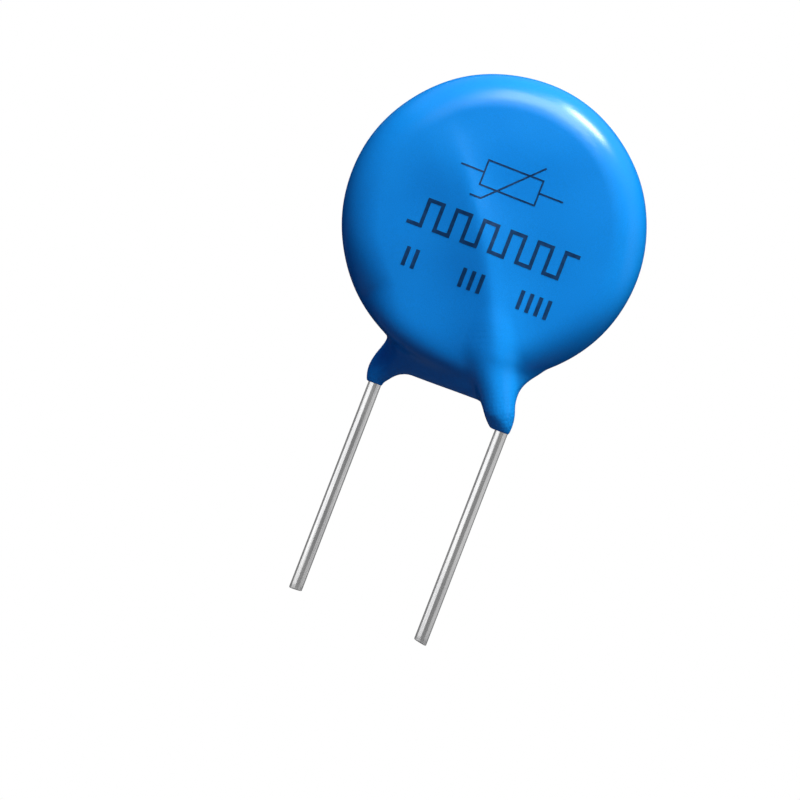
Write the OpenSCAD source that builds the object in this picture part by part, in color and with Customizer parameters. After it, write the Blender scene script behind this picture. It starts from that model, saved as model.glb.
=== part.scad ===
// Disc varistor with radial leads: a zinc oxide disc with a silver electrode on
// each face, a wire soldered across each electrode, and one dipped epoxy coat.
//
// The leads point down along -Z and the front face looks along -Y. The origin is
// midway between the two leads, on the seat where the legs of the coat end.

/* [Ceramic disc] */
// Diameter of the zinc oxide disc
ceramic_d = 7.0; // [6.2:0.1:7.6]
// Thickness of the zinc oxide disc
ceramic_t = 1.2; // [0.8:0.05:1.8]
// Height of the disc's lower edge above the seat
ceramic_lift = 2.09; // [1.8:0.01:2.6]
// How far the disc stands to the left of the middle of the leads
ceramic_shift = 0.36; // [0:0.01:0.6]

/* [Silver electrodes] */
// Diameter of the fired silver on each face
electrode_d = 6.0; // [5.6:0.1:6.2]
// Thickness of the fired silver
electrode_t = 0.03; // [0.02:0.01:0.06]

/* [Leads] */
// Diameter of the tinned wire
wire_d = 0.4; // [0.34:0.02:0.6]
// Distance between the leads along the width of the disc
lead_pitch = 3.97; // [3.6:0.01:5]
// Length of bare wire below the seat
lead_free = 6.57; // [3:0.01:25]
// Height above the seat where each wire starts to lean inwards
bend_z = 0.05; // [0.02:0.01:0.3]
// Lean of each wire across its face of the disc, in degrees
lean = 31; // [20:0.5:32]
// Radius of the bend, to the middle of the wire
bend_r = 1.45; // [1:0.05:2]
// How much thinner the wire is in its bend, where the forming tool pressed it
bend_thin = 0.01; // [0.006:0.002:0.03]
// How far above the centre of the disc each wire ends
lead_past = 1.8; // [1:0.05:2]

/* [Solder] */
// Solder left between a wire and its electrode
solder_film = 0.03; // [0.02:0.01:0.06]
// Width of a solder joint on the electrode
solder_w = 1.0; // [0.8:0.05:1.3]
// Height of a solder joint above the electrode
solder_rise = 0.34; // [0.26:0.02:0.4]
// Length of a solder joint, end to end
solder_l = 3.8; // [2.4:0.1:4]

/* [Epoxy coat] */
// Coat around the edge of the disc
edge_wall = 1.0; // [0.7:0.05:1.2]
// Coat over each electrode, at the middle of the face
face_wall = 0.62; // [0.5:0.02:0.8]
// How far each face falls from its middle to its shoulder
crown = 0.13; // [0.08:0.01:0.2]
// Coat around the wire where a leg ends
tip_wall = 0.04; // [0.02:0.01:0.08]
// Coat around the wire in the round bulb at its bend
bulb_wall = 0.15; // [0.12:0.01:0.2]
// Coat around the wire just above that bulb
leg_wall = 0.13; // [0.08:0.01:0.14]
// Coat around the wire where its ridge stands highest
ridge_wall = 0.42; // [0.3:0.01:0.45]
// Height of that place above the lower edge of the disc
ridge_up = 0.6; // [0.4:0.05:1.2]
// Coat around the wire's end, where the ridge has sunk into the face
ridge_end_wall = 0.16; // [0.1:0.01:0.2]
// Height of the web's lower edge above the seat
web_z = 0.72; // [0.5:0.01:0.9]
// Length of the straight lower edge of the web
web_flat = 2.6; // [1.8:0.05:2.8]
// Thickness of the web between the legs
web_t = 0.46; // [0.36:0.02:0.6]
// Diameter of the thick bead along the lower edge of the web
bead_d = 0.95; // [0.7:0.05:1]

/* [Hidden] */
$fn = 96;
// How far the straight stretches of a wire run over its thinner bend
lap = 0.02;

ceramic_r = ceramic_d / 2;
disc_z = ceramic_lift + ceramic_r;
wire_r = wire_d / 2;

// From the middle of the ceramic outwards, along Y
electrode_face = ceramic_t / 2 + electrode_t;
lead_y = electrode_face + solder_film + wire_r;
coat_half_t = electrode_face + face_wall;

// Each run starts where its bend ends, and its axis meets the free end's at the corner
run_z = bend_z + bend_r * sin(lean);
corner_z = bend_z + bend_r * tan(lean / 2);
run_to_corner = -bend_r * tan(lean / 2);
run_l = (disc_z + lead_past - run_z) / cos(lean);
run_to_ridge = (ceramic_lift + ridge_up - run_z) / cos(lean);
run_to_solder = (disc_z - run_z) / cos(lean);

// A solder joint is a round bead sunk into the electrode, so that its chord is solder_w
solder_r = (pow(solder_w / 2, 2) + pow(solder_rise, 2)) / (2 * solder_rise);

// The rim is a full round that meets the crowned faces without an edge
rim_r = coat_half_t - crown;
rim_x = ceramic_r + edge_wall - rim_r;
crown_r = (pow(rim_x, 2) + pow(coat_half_t, 2) - pow(rim_r, 2)) / (2 * crown);
shoulder_x = rim_x * crown_r / (crown_r - rim_r);

tip_r = wire_r + tip_wall;
bulb_r = wire_r + bulb_wall;
leg_r = wire_r + leg_wall;
ridge_r = wire_r + ridge_wall;
ridge_end_r = wire_r + ridge_end_wall;

// The web runs slantwise from the front leg to the rear leg
web_l = norm([lead_pitch, 2 * lead_y]);
web_turn = atan2(-2 * lead_y, lead_pitch);
web_top = ceramic_lift - edge_wall / 2;

// Turns what is drawn for the front of the part into the same thing at the rear
module at_rear() rotate([0, 0, 180]) children();

// Places a shape, drawn around Z, around the axis of the disc
module on_disc_axis() translate([-ceramic_shift, 0, disc_z]) rotate([90, 0, 0]) children();

// The middle of the front wire's bend
module at_bend() translate([lead_pitch / 2 - bend_r, -lead_y, bend_z]) children();

// The start of the front wire's run, with Z along the run
module on_run() at_bend() rotate([0, -lean, 0]) translate([bend_r, 0, 0]) children();

// A round stretch of the front wire's run, or of the coat on it, from one distance to another
module run(from, to, r1, r2) on_run() translate([0, 0, from]) cylinder(h = to - from, r1 = r1, r2 = r2);

module zinc_oxide_disc() {
    color([0.22, 0.23, 0.22])
    on_disc_axis() cylinder(h = ceramic_t, r = ceramic_r, center = true);
}

// side is 1 for the front face and -1 for the rear face
module electrode(side) {
    color([0.86, 0.86, 0.84])
    translate([0, -side * (ceramic_t / 2 + electrode_t / 2), 0])
    on_disc_axis() cylinder(h = electrode_t, d = electrode_d, center = true);
}

// One wire: the free end and leg, the bend, and the run across the electrode
module lead() {
    color([0.75, 0.76, 0.78]) {
        translate([lead_pitch / 2, -lead_y, -lead_free]) cylinder(h = lead_free + bend_z + lap, r = wire_r);
        at_bend() rotate([90, 0, 0]) rotate_extrude(angle = lean)
            translate([bend_r, 0]) circle(wire_r - bend_thin / 2);
        run(-lap, run_l, wire_r, wire_r);
    }
}

// The whole bead of a solder joint, flat where it has wetted the electrode
module solder_bead() {
    half_l = solder_l / 2 - solder_r;
    difference() {
        on_run() translate([0, lead_y - electrode_face + solder_r - solder_rise, run_to_solder]) {
            cylinder(h = 2 * half_l, r = solder_r, center = true);
            for (end = [-1, 1]) translate([0, 0, end * half_l]) sphere(solder_r);
        }
        translate([-ceramic_d, -electrode_face, 0]) cube([2 * ceramic_d, ceramic_d, 2 * disc_z]);
    }
}

// The solder fills the bead around the wire that lies in it
module solder() {
    color([0.66, 0.67, 0.69])
    difference() {
        solder_bead();
        lead();
    }
}

// Half of the coat's section through the axis of the disc
module coat_section() {
    intersection() {
        translate([0, -coat_half_t]) square([shoulder_x, 2 * coat_half_t]);
        for (side = [-1, 1]) translate([0, side * (coat_half_t - crown_r)]) circle(crown_r, $fn = 256);
    }
    translate([rim_x, 0]) circle(rim_r);
}

// The coat along one wire: the tapered end and bulb of the leg, then the ridge that sinks into the face
module leg_and_ridge() {
    translate([lead_pitch / 2, -lead_y, 0]) {
        cylinder(h = corner_z, r1 = tip_r, r2 = leg_r);
        translate([0, 0, corner_z]) sphere(bulb_r);
    }
    run(run_to_corner, run_to_ridge, leg_r, ridge_r);
    run(run_to_ridge, run_l, ridge_r, ridge_end_r);
}

// The coat that hangs between the legs: a thin web, and a bead along it that narrows into each leg
module web() {
    bead_r = bead_d / 2;
    half_flat = web_flat / 2;
    half_l = web_l / 2;
    rotate([0, 0, web_turn]) {
        rotate([90, 0, 0]) linear_extrude(web_t, center = true) polygon([
            [-half_flat, web_z], [-half_l, 0], [-half_l + leg_r, web_top],
            [half_l - leg_r, web_top], [half_l, 0], [half_flat, web_z]
        ]);
        translate([0, 0, web_z + bead_r]) rotate([0, 90, 0]) rotate_extrude() polygon([
            [0, -half_l + leg_r], [wire_r, -half_l + leg_r], [bead_r, -half_flat / 2],
            [bead_r, half_flat / 2], [wire_r, half_l - leg_r], [0, half_l - leg_r]
        ]);
    }
}

module coat_outside() {
    on_disc_axis() rotate_extrude() coat_section();
    web();
    leg_and_ridge();
    at_rear() leg_and_ridge();
}

// The coat fills every space around what it was dipped over
module epoxy_coat() {
    color([0.05, 0.42, 0.8])
    difference() {
        coat_outside();
        zinc_oxide_disc();
        electrode(1);
        electrode(-1);
        lead();
        at_rear() lead();
        solder_bead();
        at_rear() solder_bead();
    }
}

zinc_oxide_disc();
electrode(1);  // front_electrode
electrode(-1);  // rear_electrode
lead();  // front_lead
at_rear() lead();  // rear_lead
solder();  // front_solder
at_rear() solder();  // rear_solder
epoxy_coat();
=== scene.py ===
import math

import bpy
import numpy as np
from mathutils import Matrix, Vector


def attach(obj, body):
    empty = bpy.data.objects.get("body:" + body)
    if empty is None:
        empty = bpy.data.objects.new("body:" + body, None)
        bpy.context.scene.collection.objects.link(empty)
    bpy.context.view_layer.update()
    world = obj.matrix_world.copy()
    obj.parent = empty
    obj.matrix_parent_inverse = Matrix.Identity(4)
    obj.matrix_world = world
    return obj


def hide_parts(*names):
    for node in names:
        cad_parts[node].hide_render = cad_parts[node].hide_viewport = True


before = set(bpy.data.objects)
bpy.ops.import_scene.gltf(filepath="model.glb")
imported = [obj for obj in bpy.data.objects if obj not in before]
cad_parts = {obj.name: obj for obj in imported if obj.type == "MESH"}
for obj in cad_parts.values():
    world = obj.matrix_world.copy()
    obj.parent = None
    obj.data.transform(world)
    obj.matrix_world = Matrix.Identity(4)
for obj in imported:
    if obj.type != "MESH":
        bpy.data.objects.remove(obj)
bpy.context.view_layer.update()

# Zinc oxide disc: the ceramic that clamps the voltage, pressed from powder and sintered.
# It is hidden under the electrodes and the coat, and its solid keeps its shape.


def node_maker(tree):
    """Empties a node tree and gives a function that adds a node to it. The function sets the
    node's options, and sets or links its inputs, by name or by number as in0, in1 and so on."""
    tree.nodes.clear()

    def node(kind, **settings):
        made = tree.nodes.new(kind)
        for key, value in settings.items():
            if hasattr(made, key):
                setattr(made, key, value)
                continue
            by_number = key.startswith("in") and key[2:].isdigit()
            socket = made.inputs[int(key[2:]) if by_number else key.replace("_", " ")]
            if isinstance(value, bpy.types.NodeSocket):
                tree.links.new(value, socket)
            else:
                socket.default_value = value
        return made

    return node


def new_material(name):
    material = bpy.data.materials.new(name)
    material.use_nodes = True
    return material, node_maker(material.node_tree)


def finish_material(node, shader):
    node("ShaderNodeOutputMaterial", Surface=shader.outputs[0])


def colour_ramp(node, factor, *stops):
    """A ramp from one colour to the next, each stop given as (place, (r, g, b))."""
    ramp = node("ShaderNodeValToRGB", Fac=factor)
    ramp.color_ramp.interpolation = "EASE"
    elements = ramp.color_ramp.elements
    while len(elements) < len(stops):
        elements.new(0.5)
    for element, (place, colour) in zip(elements, stops):
        element.position = place
        element.color = (*colour, 1)
    return ramp.outputs["Color"]


def level_ramp(node, factor, low, high, start=0.0, end=1.0):
    """A number that runs from low to high while factor runs from start to end."""
    made = node("ShaderNodeMapRange", Value=factor, interpolation_type="SMOOTHSTEP")
    for key, value in zip(("From Min", "From Max", "To Min", "To Max"), (start, end, low, high)):
        made.inputs[key].default_value = value
    return made.outputs["Result"]


def grain(node, place, size, detail=3.0, stretch=(1, 1, 1)):
    """Cloudy noise with lumps about size metres wide, longer along an axis whose stretch is
    less than 1."""
    spread = node("ShaderNodeMapping", Vector=place)
    spread.inputs["Scale"].default_value = stretch
    return node("ShaderNodeTexNoise", Vector=spread.outputs["Vector"], Scale=1 / size,
                Detail=detail).outputs["Fac"]


def dress(piece, material):
    piece.data.materials.clear()
    piece.data.materials.append(material)


def sintered_oxide():
    material, node = new_material("sintered_zinc_oxide")
    place = node("ShaderNodeTexCoord").outputs["Object"]
    grains = node("ShaderNodeTexVoronoi", Vector=place, Scale=1 / 0.00005)
    clouds = grain(node, place, 0.0012)
    colour = colour_ramp(node, clouds, (0.3, (0.035, 0.04, 0.034)), (0.7, (0.062, 0.068, 0.058)))
    bump = node("ShaderNodeBump", Height=grains.outputs["Distance"], Strength=0.5,
                Distance=0.00001)
    finish_material(node, node("ShaderNodeBsdfPrincipled", Base_Color=colour,
                               Roughness=level_ramp(node, clouds, 0.55, 0.75),
                               Normal=bump.outputs["Normal"]))
    return material


dress(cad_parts["zinc_oxide_disc"], sintered_oxide())

# Silver electrodes: a round of silver paste screened on each face of the ceramic and fired.
# The paste leaves a matt, slightly woven surface, and each solid keeps its shape.


def fired_silver():
    material, node = new_material("fired_silver")
    place = node("ShaderNodeTexCoord").outputs["Object"]
    weave_size = 0.00006
    weft = node("ShaderNodeTexWave", Vector=place, Scale=1 / weave_size, Distortion=0.4)
    warp = node("ShaderNodeTexWave", Vector=place, Scale=1 / weave_size, Distortion=0.4,
                bands_direction="Z")
    weave = node("ShaderNodeMath", operation="MULTIPLY", in0=weft.outputs["Fac"],
                 in1=warp.outputs["Fac"])
    tarnish = grain(node, place, 0.0008)
    colour = colour_ramp(node, tarnish, (0.35, (0.70, 0.68, 0.64)), (0.7, (0.82, 0.81, 0.78)))
    bump = node("ShaderNodeBump", Height=weave.outputs[0], Strength=0.4, Distance=0.000004)
    finish_material(node, node("ShaderNodeBsdfPrincipled", Base_Color=colour, Metallic=0.85,
                               Roughness=level_ramp(node, tarnish, 0.42, 0.6),
                               Normal=bump.outputs["Normal"]))
    return material


silver = fired_silver()
for side in ("front_electrode", "rear_electrode"):
    dress(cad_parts[side], silver)

# Leads: 0.4 mm copper-clad steel wire, drawn and tinned, one soldered across each face.
# Each is bent inside the leg of the coat, and its free end is cut off with a shear.
MM = 0.001
WIRE_R = 0.2
LEAD_X, LEAD_Y = 1.985, 0.86
LEAD_TIP = -6.57
BEND_Z, BEND_R = 0.05, 1.45
LEAN = math.radians(31)
RUN_END_Z = 7.39


def wire_path():
    """The front wire's axis from its free end to its end on the disc, in millimetres."""
    tip = [LEAD_TIP, LEAD_TIP + 0.03]
    straight = np.concatenate([tip, np.linspace(LEAD_TIP + 0.2, BEND_Z, 33)])
    points = [(LEAD_X, -LEAD_Y, z) for z in straight]
    for turn in np.linspace(0, LEAN, 9)[1:]:
        points.append((LEAD_X - BEND_R * (1 - math.cos(turn)), -LEAD_Y,
                       BEND_Z + BEND_R * math.sin(turn)))
    x, _, z = points[-1]
    for rise in np.linspace(0, RUN_END_Z - z, 30)[1:]:
        points.append((x - rise * math.tan(LEAN), -LEAD_Y, z + rise))
    return np.array(points)


def make_piece(name, points, faces, smooth=True):
    """A mesh object from points in millimetres."""
    mesh = bpy.data.meshes.new(name)
    mesh.from_pydata([tuple(p) for p in np.asarray(points) * MM], [], faces)
    mesh.validate()
    mesh.polygons.foreach_set("use_smooth", [smooth] * len(mesh.polygons))
    piece = bpy.data.objects.new(name, mesh)
    bpy.context.scene.collection.objects.link(piece)
    return piece


def drawn_wire(name, turn, shear):
    """One round wire. Turn is 1 for the front wire and -1 for the rear one, and shear is how far
    the cut at its free end slopes."""
    sides, cut_round, sheared_stretch = 64, 0.012, 0.4
    path = wire_path()
    along = np.gradient(path, axis=0)
    along /= np.linalg.norm(along, axis=1)[:, None]
    across = np.cross(along, (0, 1, 0))
    around = np.linspace(0, 2 * math.pi, sides, endpoint=False)
    cos, sin = np.cos(around)[:, None], np.sin(around)[:, None]
    rings = []
    for step in np.linspace(0, math.pi / 2, 4)[:-1]:
        radius = WIRE_R - cut_round * (1 - math.sin(step))
        rings.append((path[0] + along[0] * cut_round * (1 - math.cos(step)), 0, radius))
    rings += [(point, i, WIRE_R) for i, point in enumerate(path) if i]
    points = [path[0]]
    for centre, i, radius in rings:
        points += list(centre + radius * (cos * -across[i] + sin * np.array((0, 1, 0))))
    points.append(path[-1])
    points = np.array(points)
    near_cut = np.clip((LEAD_TIP + sheared_stretch - points[:, 2]) / sheared_stretch, 0, 1)
    points[:, 2] += shear * near_cut * (LEAD_X - points[:, 0]) / (2 * WIRE_R)
    points[:, :2] *= turn
    faces = []
    for k in range(sides):
        n = (k + 1) % sides
        faces.append((0, 1 + n, 1 + k))
        for r in range(len(rings) - 1):
            a = 1 + r * sides
            faces.append((a + k, a + n, a + sides + n, a + sides + k))
        last = 1 + (len(rings) - 1) * sides
        faces.append((last + k, last + n, len(points) - 1))
    return make_piece(name, points, faces)


def tinned_wire():
    material, node = new_material("tinned_wire")
    place = node("ShaderNodeTexCoord").outputs["Object"]
    draw_marks = grain(node, place, 0.00004, detail=4, stretch=(1, 1, 0.02))
    tin_flow = grain(node, place, 0.0006, stretch=(1, 1, 0.35))
    colour = colour_ramp(node, tin_flow, (0.3, (0.72, 0.72, 0.73)), (0.7, (0.80, 0.80, 0.80)))
    heights = node("ShaderNodeMath", operation="MULTIPLY_ADD", in0=tin_flow, in1=1.5,
                   in2=draw_marks)
    bump = node("ShaderNodeBump", Height=heights.outputs[0], Strength=0.25, Distance=0.000002)
    finish_material(node, node("ShaderNodeBsdfPrincipled", Base_Color=colour, Metallic=1.0,
                               Roughness=level_ramp(node, draw_marks, 0.14, 0.26, 0.3, 0.7),
                               Normal=bump.outputs["Normal"]))
    return material


tin = tinned_wire()
for name, turn, shear in (("front_wire", 1, 0.07), ("rear_wire", -1, 0.02)):
    wire = drawn_wire(name, turn, shear)
    dress(wire, tin)
    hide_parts(name.replace("wire", "lead"))
    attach(wire, "root")

# Solder joints: tin solder that has run along each wire and wetted the silver beside it.
# Both are under the coat, and each solid keeps its shape.


def tin_solder():
    material, node = new_material("tin_solder")
    place = node("ShaderNodeTexCoord").outputs["Object"]
    crystals = node("ShaderNodeTexVoronoi", Vector=place, Scale=1 / 0.00012)
    flow = grain(node, place, 0.0005)
    colour = colour_ramp(node, flow, (0.3, (0.58, 0.58, 0.59)), (0.7, (0.70, 0.70, 0.70)))
    bump = node("ShaderNodeBump", Height=crystals.outputs["Distance"], Strength=0.3,
                Distance=0.00001)
    finish_material(node, node("ShaderNodeBsdfPrincipled", Base_Color=colour, Metallic=1.0,
                               Roughness=level_ramp(node, flow, 0.25, 0.45),
                               Normal=bump.outputs["Normal"]))
    return material


solder = tin_solder()
for side in ("front_solder", "rear_solder"):
    dress(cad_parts[side], solder)

# Epoxy coat: the finished disc is dipped in blue powder or resin and cured, so one skin flows
# over everything. It rounds the rim, sags into a web between the legs, draws down each wire
# and stands up as a low ridge over the wire on each face.
DISC_X, DISC_Z = -0.36, 5.59
# Half the thickness at the middle, the radius of the rim and where it starts, and of the crown
HALF_T, RIM_R, RIM_X, CROWN_R = 1.25, 1.16, 3.34, 100
# How much fuller than a round the rim is on each side, and how much thinner the coat is above
FULLER_LEFT, FULLER_RIGHT, FULLER_BELOW, THIN_ABOVE = 0.35, 0.4, 2.0, 0.010
# The fullest place of the rim, where it hangs between the legs: how much, where, and how wide
SAG, SAG_X, SAG_REACH = 1.6, 0.7, 0.8
# Height where the wire's free end and its run across the disc would meet in a corner
CORNER_Z = BEND_Z + BEND_R * math.tan(LEAN / 2)
# Each leg from its foot up into the face, as (sideways, outwards of the wire, height, radius)
FRONT_LEG = ((1.975, 0, -0.15, 0.225), (1.960, 0.01, 0.05, 0.245), (1.885, 0.06, 0.25, 0.345),
             (1.76, 0.10, 0.48, 0.44), (1.63, 0.09, 0.70, 0.47), (1.47, 0.09, 1.00, 0.50),
             (1.25, 0.09, 1.40, 0.54), (1.01, 0.05, 1.80, 0.55), (0.81, 0, 2.20, 0.54),
             (0.67, 0, 2.60, 0.48), (0.55, 0, 2.90, 0.36))
REAR_LEG = ((2.0, 0, -0.15, 0.21), (2.0, 0, 0.03, 0.215), (2.035, 0.01, 0.25, 0.29),
            (1.97, 0.04, 0.48, 0.38), (1.87, 0.08, 0.70, 0.44), (1.73, 0.12, 1.00, 0.48),
            (1.50, 0.12, 1.40, 0.52), (1.20, 0.06, 1.80, 0.55), (0.92, 0, 2.20, 0.55),
            (0.72, 0, 2.60, 0.48), (0.55, 0, 2.90, 0.36))
LEG_BLEND, WEB_BLEND, NECK_BLEND = 0.40, 0.70, 0.45
# The bead along the lower edge of the web, and the fold of coat between front leg and rim
WEB_END, WEB_Z, BEAD_R = (1.30, -0.56), 0.64, 0.40
NECK_START, NECK_END, NECK_R = (1.66, -0.54, 1.18), (2.05, -0.10, 2.07), 0.27
# The ridge: its rise along the wire and at its root, its section, and the bow of its crest
RIDGE_RISE, RIDGE_TOP, RIDGE_FADE = 0.19, 8.3, 2.8
ROOT_RISE, ROOT_Z, ROOT_REACH = 0.10, 1.9, 1.3
CREST_WIDTH, LEFT_FLANK_LOW, LEFT_FLANK_HIGH, RIGHT_FLANK = 0.24, 0.52, 0.80, 0.46
CREST_ASIDE, CREST_BOW, BOW_Z, BOW_REACH = 0.17, 0.24, 4.7, 2.7
# How high the slow waves of the skin stand, and how rounded the feet of the legs are
WAVE, FOOT_ROUND = 0.008, 0.04


def smooth_min(a, b, blend):
    h = np.clip(0.5 + 0.5 * (b - a) / blend, 0, 1)
    return b + (a - b) * h - blend * h * (1 - h)


def lens(p):
    """The round crowned body over the disc: distance outside its surface, less than 0 inside."""
    right, up = p[..., 0] - DISC_X, p[..., 2] - DISC_Z
    out, side = np.hypot(right, up), np.abs(p[..., 1]) + THIN_ABOVE * np.clip(up - 1, 0, 3) ** 2
    face = HALF_T - out ** 2 / (2 * CROWN_R)
    across, below = right / np.maximum(out, 1), -up / np.maximum(out, 1)

    def towards(aside, down, start, fade):
        """1 on the side of the rim that lies aside and down, and 0 away from it."""
        return ramp((down * below + aside * across - start) / fade)

    # The coat sags before it sets, so the rim below is fuller than a round
    power = (2 + FULLER_LEFT * towards(-0.93, 0.36, 0.3, 0.5) * ramp((1.0 - below) / 0.8)
             + FULLER_RIGHT * towards(0.75, 0.66, 0.6, 0.35)
             + FULLER_BELOW * towards(-0.10, 0.99, 0.81, 0.17)
             + SAG * np.exp(-((right - SAG_X) / SAG_REACH) ** 2) * towards(0, 1, 0.8, 0.15))
    rim = (np.maximum(out - RIM_X, 0) / RIM_R) ** power + (side / face) ** power
    return np.where(out < RIM_X, side - face, face * (rim ** (1 / power) - 1))


def rod(p, start, end, r_start, r_end):
    """A round rod that widens evenly from one end to the other."""
    start, end = np.array(start), np.array(end)
    axis = end - start
    t = np.clip(((p - start) @ axis) / (axis @ axis), 0, 1)
    radius = r_start + t * (r_end - r_start)
    return np.linalg.norm(p - (start + t[..., None] * axis), axis=-1) - radius


def ramp(t):
    """Goes smoothly from 0 to 1 while t does."""
    t = np.clip(t, 0, 1)
    return t * t * (3 - 2 * t)


def leg(p, rows, slant):
    """The coat around the front wire, from the foot of its leg to the lower face.
    Its section is pushed askew by slant, so that its crest lies to one side of the wire."""
    rows = np.array(rows)
    even = np.linspace(0, len(rows) - 1, 28)
    rows = np.stack([np.interp(even, range(len(rows)), column) for column in rows.T], 1)
    for _ in range(3):
        rows[1:-1] = (rows[:-2] + 2 * rows[1:-1] + rows[2:]) / 4
    x, y, z = p[..., 0], p[..., 1], p[..., 2]
    middle = np.interp(z, rows[:, 2], rows[:, 0])
    # The slant starts above the foot and ends in the face
    askew = slant * ramp((z - 0.05) / 0.35) * ramp(2.6 - z) * (x - middle)
    p = np.stack([x, y - askew, z], -1)
    places, radii = [(x, -LEAD_Y - out, z) for x, out, z, _ in rows], rows[:, 3]
    stretches = zip(places, places[1:], radii, radii[1:])
    return np.minimum.reduce([rod(p, *stretch) for stretch in stretches])


def ridge_rise(x, z):
    """How far the skin stands up, like a soft tent, over the wire on the front face."""
    along_wire = LEAD_X - math.tan(LEAN) * (z - CORNER_Z)
    crest = along_wire + CREST_ASIDE - CREST_BOW * ((z - BOW_Z) / BOW_REACH) ** 2
    off = (x - crest) * math.cos(LEAN)
    left_flank = LEFT_FLANK_LOW + (LEFT_FLANK_HIGH - LEFT_FLANK_LOW) * ramp((z - 3) / 2.5)
    flank = np.where(off < 0, left_flank, RIGHT_FLANK)
    tent = np.exp((CREST_WIDTH - np.sqrt(off ** 2 + CREST_WIDTH ** 2)) / flank)
    tent = tent * ramp((2.2 - np.abs(off)) / 1.6)
    tall = (RIDGE_RISE * ramp((RIDGE_TOP - z) / RIDGE_FADE)
            + ROOT_RISE * np.exp(-((z - ROOT_Z) / ROOT_REACH) ** 2))
    return tall * tent * ramp((z - 0.9) / 1.2)


def coat_field(p):
    """Less than 0 inside the coat, 0 on its skin, in millimetres."""
    x, y, z = p[..., 0], p[..., 1], p[..., 2]
    body = lens(p) - ridge_rise(x, z) * ramp(-y / 0.9) - ridge_rise(-x, z) * ramp(y / 0.9)
    web_end = np.array((*WEB_END, WEB_Z + BEAD_R))
    skin = smooth_min(body, rod(p, web_end * (-1, -1, 1), web_end, BEAD_R, BEAD_R), WEB_BLEND)
    neck = rod(p, NECK_START, NECK_END, NECK_R, NECK_R)
    skin = smooth_min(skin, smooth_min(leg(p, FRONT_LEG, slant=0.22), neck, NECK_BLEND), LEG_BLEND)
    skin = smooth_min(skin, leg(p * (-1, -1, 1), REAR_LEG, slant=-0.2), LEG_BLEND)
    skin = skin + WAVE * (np.sin(1.7 * x + 0.9 * z + 1.0)
                          + np.sin(2.3 * z - 1.1 * x + 2.0) * np.sin(1.3 * y + 0.5))
    return -smooth_min(-skin, z, FOOT_ROUND)


def net_over(field, low, high, step):
    """Points and four-sided faces on the surface where field is 0, found on an even grid."""
    low = np.array(low)
    counts = [int(math.ceil((b - a) / step)) + 1 for a, b in zip(low, high)]
    axes = [a + step * np.arange(n) for a, n in zip(low, counts)]
    value = np.stack([field(np.stack(np.meshgrid([x], *axes[1:], indexing="ij"), -1))[0]
                      for x in axes[0]])
    cells = [n - 1 for n in counts]
    total, count = np.zeros((int(np.prod(cells)), 3)), np.zeros(int(np.prod(cells)))
    quads = []
    for axis in range(3):
        a = np.take(value, range(0, counts[axis] - 1), axis)
        b = np.take(value, range(1, counts[axis]), axis)
        crosses = (a < 0) != (b < 0)
        where = np.argwhere(crosses)
        point = low + where * step
        point[:, axis] += a[crosses] / (a[crosses] - b[crosses]) * step
        around = []
        for du, dv in ((0, 0), (1, 0), (1, 1), (0, 1)):
            cell = where.copy()
            cell[:, (axis + 1) % 3] -= du
            cell[:, (axis + 2) % 3] -= dv
            around.append(np.ravel_multi_index(cell.T, cells))
            np.add.at(total, around[-1], point)
            np.add.at(count, around[-1], 1)
        quad = np.stack(around, 1)
        inward = ~(a[crosses] < 0)
        quad[inward] = quad[inward][:, ::-1]
        quads.append(quad)
    used, quads = np.unique(np.concatenate(quads), return_inverse=True)
    return total[used] / count[used, None], quads.reshape(-1, 4)


def slope(field, points, reach=0.004):
    """The direction in which field grows fastest, one vector for each point."""
    steps = np.eye(3) * reach
    return np.stack([(field(points + s) - field(points - s)) / (2 * reach) for s in steps], -1)


def settle(field, points, rounds):
    for _ in range(rounds):
        way = slope(field, points)
        points = points - (field(points) / (way * way).sum(-1))[..., None] * way
    return points


def even_out(points, quads, field, rounds):
    """Slides the points along the skin until they lie evenly."""
    ends = np.concatenate([quads[:, [k, (k + 1) % 4]] for k in range(4)])
    for _ in range(rounds):
        mean, count = np.zeros_like(points), np.zeros(len(points))
        np.add.at(mean, ends[:, 0], points[ends[:, 1]])
        np.add.at(count, ends[:, 0], 1)
        points = settle(field, 0.4 * points + 0.6 * mean / count[:, None], 1)
    return points


def dipped_coat():
    step = 0.055
    points, quads = net_over(coat_field, low=(-5.1, -1.75, -0.3), high=(4.4, 1.75, 10.4), step=step)
    points = even_out(points, quads, coat_field, rounds=3)
    points = settle(coat_field, points, rounds=2)
    piece = make_piece("dipped_coat", points, quads.tolist())
    normals = slope(coat_field, points)
    normals /= np.linalg.norm(normals, axis=1)[:, None]
    piece.data.normals_split_custom_set_from_vertices(normals.tolist())
    return piece


def cured_epoxy():
    material, node = new_material("cured_blue_epoxy")
    place = node("ShaderNodeTexCoord").outputs["Object"]
    clouds = grain(node, place, 0.0025, detail=2)
    pigment = grain(node, place, 0.00003, detail=2)
    base = colour_ramp(node, clouds, (0.2, (0.0041, 0.202, 0.67)), (0.8, (0.0049, 0.222, 0.71)))
    speck = level_ramp(node, pigment, 0.94, 1.06, 0.3, 0.7)
    colour = node("ShaderNodeVectorMath", operation="SCALE", in0=base, Scale=speck)
    peel = grain(node, place, 0.00022, detail=1)
    bump = node("ShaderNodeBump", Height=peel, Strength=0.12, Distance=0.00001)
    # Past a roughness of 0.27 the denoiser takes the skin for matt, and a faint line shows there
    finish_material(node, node("ShaderNodeBsdfPrincipled", Base_Color=colour.outputs[0],
                               Roughness=level_ramp(node, clouds, 0.252, 0.272, 0.2, 0.8),
                               Normal=bump.outputs["Normal"]))
    return material


coat = dipped_coat()
dress(coat, cured_epoxy())
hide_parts("epoxy_coat")
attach(coat, "root")

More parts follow.
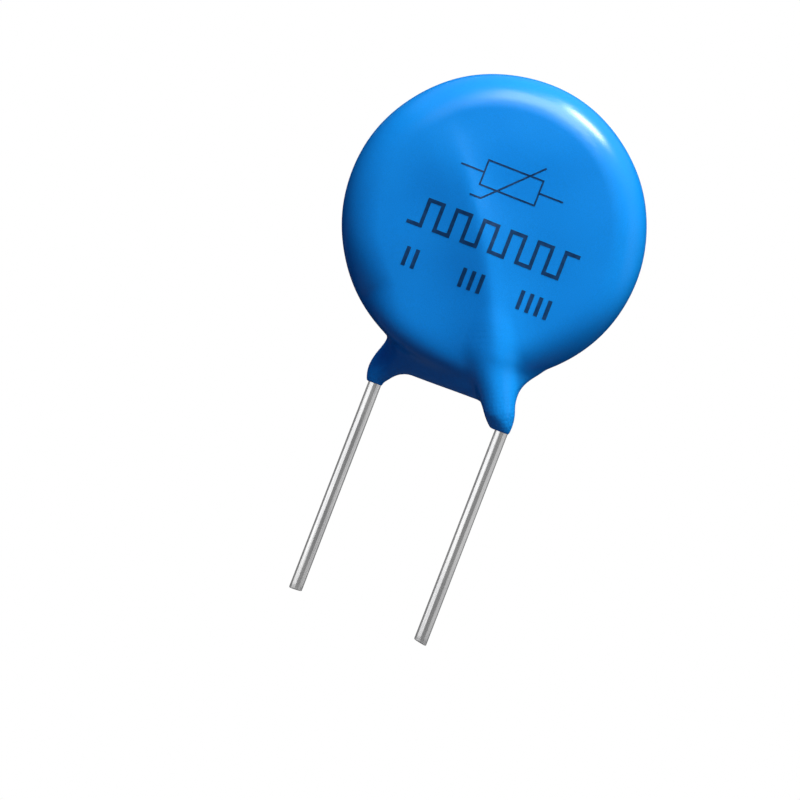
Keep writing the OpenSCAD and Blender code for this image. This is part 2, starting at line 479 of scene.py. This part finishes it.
# Marking: thin dark ink stamped on the front of the cured coat and baked. A circuit symbol in
# fine line stands over a square wave and a row of tally bars. Each line is a flat ribbon on the
# skin, and its places are given across and up from the middle of the disc.
FINE_LINE, BOLD_LINE, TALLY_LINE = 0.05, 0.11, 0.12
INK_PROUD, INK_SUNK = 0.006, 0.012


def front_skin(x, z):
    """Where the front of the coat is, along Y."""
    outside, inside = np.full_like(x, -1.8), np.full_like(x, -0.7)
    for _ in range(22):
        middle = (outside + inside) / 2
        out = coat_field(np.stack([x, middle, z], -1)) > 0
        outside, inside = np.where(out, middle, outside), np.where(out, inside, middle)
    return outside


def inked_line(corners, width, closed=False):
    """Points and faces of one ribbon of ink that runs from corner to corner."""
    ends = corners[1:] + corners[:1] if closed else corners[1:]
    path, spacing = [], 0.07
    for a, b in zip(corners, ends):
        count = max(2, math.ceil(math.dist(a, b) / spacing))
        path += [(a[0] + (b[0] - a[0]) * t / count, a[1] + (b[1] - a[1]) * t / count)
                 for t in range(count)]
    path = np.array(path if closed else path + [corners[-1]])
    ahead, behind = np.roll(path, -1, 0) - path, path - np.roll(path, 1, 0)
    if not closed:
        ahead[-1], behind[0] = behind[-1], ahead[0]
    ahead /= np.linalg.norm(ahead, axis=1)[:, None]
    behind /= np.linalg.norm(behind, axis=1)[:, None]
    # Sideways at each point, longer at a corner so that the ribbon keeps its width
    side = (ahead + behind) @ np.array(((0, 1), (-1, 0)))
    side /= (side * side / 2).sum(1)[:, None]
    left, right = path + side * width / 2, path - side * width / 2
    edges = (left, INK_PROUD), (right, INK_PROUD), (right, -INK_SUNK), (left, -INK_SUNK)
    rings = []
    for edge, lift in edges:
        x, z = edge[:, 0] + DISC_X, edge[:, 1] + DISC_Z
        rings.append(np.stack([x, front_skin(x, z) - lift, z], 1))
    points = np.stack(rings, 1).reshape(-1, 3)
    n = len(path)
    faces = []
    for k in range(n if closed else n - 1):
        here, there = 4 * k, 4 * ((k + 1) % n)
        faces += [(here + j, here + (j + 1) % 4, there + (j + 1) % 4, there + j) for j in range(4)]
    if not closed:
        faces += [(3, 2, 1, 0), (4 * n - 4, 4 * n - 3, 4 * n - 2, 4 * n - 1)]
    return points, faces


def stamped_marking():
    across, middle, up = 0.85, 1.27, 0.38
    box = [(-across, middle - up), (across, middle - up),
           (across, middle + up), (-across, middle + up)]
    lines = [inked_line(box, FINE_LINE, closed=True),
             inked_line([(-1.57, middle), (-across, middle)], FINE_LINE),
             inked_line([(across, middle), (1.6, middle)], FINE_LINE),
             inked_line([(-1.02, 0.52), (-0.68, 0.52), (0.80, 2.02)], FINE_LINE)]
    low, high, half = -0.84, -0.05, 0.425
    wave = [(-2.45, low)]
    for step in range(12):
        x, level = wave[-1][0] + half, (low, high)[step % 2]
        wave += [(x, level), (x, low + high - level)]
    lines.append(inked_line(wave[:-1], BOLD_LINE))
    foot, head = -2.10, -1.52
    for x in (-2.10, -1.82, -0.35, -0.07, 0.21, 1.46, 1.74, 2.02, 2.30):
        lines.append(inked_line([(x, foot), (x, head)], TALLY_LINE))
    points, faces = [], []
    for line_points, line_faces in lines:
        faces += [tuple(k + len(points) for k in face) for face in line_faces]
        points += list(line_points)
    return make_piece("stamped_marking", points, faces, smooth=False)


def baked_ink():
    material, node = new_material("baked_ink")
    place = node("ShaderNodeTexCoord").outputs["Object"]
    cover = grain(node, place, 0.00012, detail=3)
    colour = colour_ramp(node, cover, (0.35, (0.0022, 0.030, 0.105)),
                         (0.7, (0.0035, 0.042, 0.145)))
    bump = node("ShaderNodeBump", Height=cover, Strength=0.3, Distance=0.000004)
    finish_material(node, node("ShaderNodeBsdfPrincipled", Base_Color=colour,
                               Roughness=level_ramp(node, cover, 0.34, 0.46, 0.3, 0.7),
                               Normal=bump.outputs["Normal"]))
    return material


marking = stamped_marking()
dress(marking, baked_ink())
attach(marking, "root")

# Floor and room: a pale floor below the part and an even white room around it.
# The floor fades into the white of the room, and keeps the part's shadow near the part. Neither
# throws more than a dim light on the part.
FLOOR_Z = -25
FADE_START, FADE_END = 0.020, 0.044


def shown(node):
    """1 for a ray from the camera, straight or by way of gloss or glass, and otherwise 0."""
    rays = node("ShaderNodeLightPath").outputs
    seen = rays["Is Camera Ray"]
    for ray in ("Is Glossy Ray", "Is Transmission Ray"):
        seen = node("ShaderNodeMath", operation="MAXIMUM", in0=seen, in1=rays[ray]).outputs[0]
    return seen


def pale_floor():
    material, node = new_material("pale_floor")
    place = node("ShaderNodeTexCoord").outputs["Object"]
    far = node("ShaderNodeVectorMath", operation="LENGTH", in0=place).outputs["Value"]
    paper = grain(node, place, 0.002)
    pale = colour_ramp(node, paper, (0.3, (0.68, 0.68, 0.68)), (0.7, (0.70, 0.70, 0.70)))
    tone = node("ShaderNodeMix", data_type="RGBA", Factor=shown(node), in6=(0.05, 0.09, 0.13, 1),
                in7=pale)
    matt = node("ShaderNodeBsdfPrincipled", Roughness=0.8, Base_Color=tone.outputs[2])
    white = node("ShaderNodeEmission", Strength=1.0)
    fade = node("ShaderNodeMath", operation="MULTIPLY",
                in0=node("ShaderNodeLightPath").outputs["Is Camera Ray"],
                in1=level_ramp(node, far, 0.0, 1.0, FADE_START, FADE_END))
    above = node("ShaderNodeMixShader", Fac=fade.outputs[0], in1=matt.outputs[0],
                 in2=white.outputs[0])
    # Seen from below, the floor isn't there
    both = node("ShaderNodeMixShader", Fac=node("ShaderNodeNewGeometry").outputs["Backfacing"],
                in1=above.outputs[0], in2=node("ShaderNodeBsdfTransparent").outputs[0])
    finish_material(node, both)
    return material


def flat_sheet(name, half_width, height):
    corners = [(-half_width, -half_width, height), (half_width, -half_width, height),
               (half_width, half_width, height), (-half_width, half_width, height)]
    return make_piece(name, corners, [(0, 1, 2, 3)], smooth=False)


floor = flat_sheet("pale_floor", half_width=2000, height=0)
floor.location.z = FLOOR_Z * MM
dress(floor, pale_floor())

room = bpy.data.worlds.new("white_room")
bpy.context.scene.world = room
room.use_nodes = True
node = node_maker(room.node_tree)
dim = node("ShaderNodeBackground", Color=(0.65, 1.05, 2.3, 1), Strength=0.10)
white = node("ShaderNodeBackground", Color=(1, 1, 1, 1), Strength=1.0)
mixed = node("ShaderNodeMixShader", Fac=shown(node), in1=dim.outputs[0], in2=white.outputs[0])
node("ShaderNodeOutputWorld", Surface=mixed.outputs[0])

# Lamps and cards: three boxes above, of which the key box makes the streak on the rim, one on the
# right, one behind and a narrow lamp on the front leg. The cards stand around the part and only
# show as reflections, some of them in the bare wires alone.
AIM = Vector((-0.3, 0, 4.5)) * MM
FRONT = Vector((0, -1, 0))


def soft_box(name, towards, distance, width, height, radiance, blue=1.0, seen_in_gloss=True):
    """An area lamp in the given direction from the part, with its sizes in millimetres."""
    lamp = bpy.data.lights.new(name, "AREA")
    lamp.shape, lamp.size, lamp.size_y = "RECTANGLE", width * MM, height * MM
    lamp.energy = radiance * math.pi * width * height * MM * MM
    lamp.color = (1, 1, blue)
    box = bpy.data.objects.new(name, lamp)
    bpy.context.scene.collection.objects.link(box)
    way = Vector(towards).normalized()
    box.location = AIM + way * distance * MM
    box.rotation_mode = "QUATERNION"
    across = FRONT.cross(way).normalized()
    box.rotation_quaternion = Matrix((across, way.cross(across), way)).transposed().to_quaternion()
    box.visible_glossy = seen_in_gloss


# The two boxes that are seen in gloss hang inside the ring of cards, where no card hides them
soft_box("band_box", (0.045, -0.485, 0.875), 60, 34, 29, 5.8, blue=0.92)
soft_box("main_box", (-0.07, -0.60, 0.78), 60, 46, 44, 5.5, blue=0.92, seen_in_gloss=False)
soft_box("key_box", (0.306, -0.171, 0.936), 55, 15.5, 10, 44, blue=0.75)
soft_box("right_box", (0.90, -0.10, 0.42), 90, 60, 60, 1.85, blue=0.85, seen_in_gloss=False)
soft_box("rear_box", (-0.35, 0.85, 0.45), 100, 60, 60, 5.0, seen_in_gloss=False)

leg_lamp = bpy.data.lights.new("leg_lamp", "SPOT")
leg_lamp.energy, leg_lamp.shadow_soft_size = 0.0225, 2.5 * MM
leg_lamp.color = (1, 0.98, 0.8)
leg_lamp.spot_size, leg_lamp.spot_blend = math.radians(11), 1.0
leg_spot = bpy.data.objects.new("leg_lamp", leg_lamp)
bpy.context.scene.collection.objects.link(leg_spot)
leg_aim, leg_distance = Vector((1.25, -1.2, 1.5)), 25
way = Vector((0.56, -0.32, 0.77)).normalized()
leg_spot.location = leg_aim * MM + way * leg_distance * MM
leg_spot.rotation_mode = "QUATERNION"
leg_spot.rotation_quaternion = way.to_track_quat("Z", "Y")
leg_spot.visible_glossy = False

bare_wires = bpy.data.collections.new("bare_wires")
for name in ("front_wire", "rear_wire"):
    bare_wires.objects.link(bpy.data.objects[name])


def card(name, left, right, rings, level, only_wires=False):
    """A curved sheet around the part from one bearing to another, 0 in front and 90 on the right.
    Rings are the distance and height of each of its edges, from the bottom up."""
    bearings = np.radians(np.linspace(left, right, 25))
    points = [(reach * math.sin(b), -reach * math.cos(b), z)
              for reach, z in rings for b in bearings]
    n = len(bearings)
    faces = [(r * n + k, r * n + k + 1, (r + 1) * n + k + 1, (r + 1) * n + k)
             for r in range(len(rings) - 1) for k in range(n - 1)]
    sheet = make_piece(name, points, faces)
    material, node = new_material(name)
    finish_material(node, node("ShaderNodeEmission", Color=(1, 1, 1, 1), Strength=level))
    dress(sheet, material)
    sheet.visible_camera = sheet.visible_diffuse = sheet.visible_shadow = False
    sheet.visible_transmission = sheet.visible_volume_scatter = False
    if only_wires:
        sheet.light_linking.receiver_collection = bare_wires


# The height at which a level eye sees the wires mirror the room
BELT = ((70, -13), (70, 3))
card("dark_upper_card", -180, 180, ((70, 3), (66, 30), (56, 50)), 0.04)
card("top_card", -180, 180, ((56, 50), (30, 68), (0.5, 74)), 0.28)
card("dark_lower_card", -180, 180, ((0.5, -24), (40, -24), (70, -13)), 0.06)
card("left_white_card", -92, -22, BELT, 1.38, only_wires=True)
card("front_grey_card", -22, 44, BELT, 0.27, only_wires=True)
card("right_grey_card", 44, 115, BELT, 0.68, only_wires=True)
card("rear_grey_card", 115, 268, BELT, 0.25, only_wires=True)
# Seen from above or below, the wires mirror these two instead of the dark cards behind them
card("upper_wire_card", -180, 180, ((69.5, 4.5), (64, 29), (54, 48)), 0.62, only_wires=True)
card("lower_wire_card", -180, 180, ((38, -23), (69.5, -13.5)), 0.45, only_wires=True)

# Camera: level with the part and square to its front, rolled so that the leads hang to the left.
# The part stands off the middle of the photograph, so the camera stands beside it, with no shift.
ROLL = math.radians(21.15)
VIEW_WIDTH = 23.585
VIEW_X, VIEW_Z = -1.107, -0.188
camera_data = bpy.data.cameras.new("camera")
camera = bpy.data.objects.new("camera", camera_data)
bpy.context.scene.collection.objects.link(camera)
camera_data.lens, camera_data.sensor_width = 120, 36
distance = VIEW_WIDTH / camera_data.sensor_width * camera_data.lens
camera.location = Vector((VIEW_X, -distance, VIEW_Z)) * MM
camera_data.clip_start, camera_data.clip_end = 0.001, 10
camera.rotation_mode = "XYZ"
camera.rotation_euler = (math.radians(90), 0, 0)
camera.rotation_euler.rotate_axis("Z", ROLL)
bpy.context.scene.camera = camera
bpy.context.scene.view_settings.view_transform = "Standard"
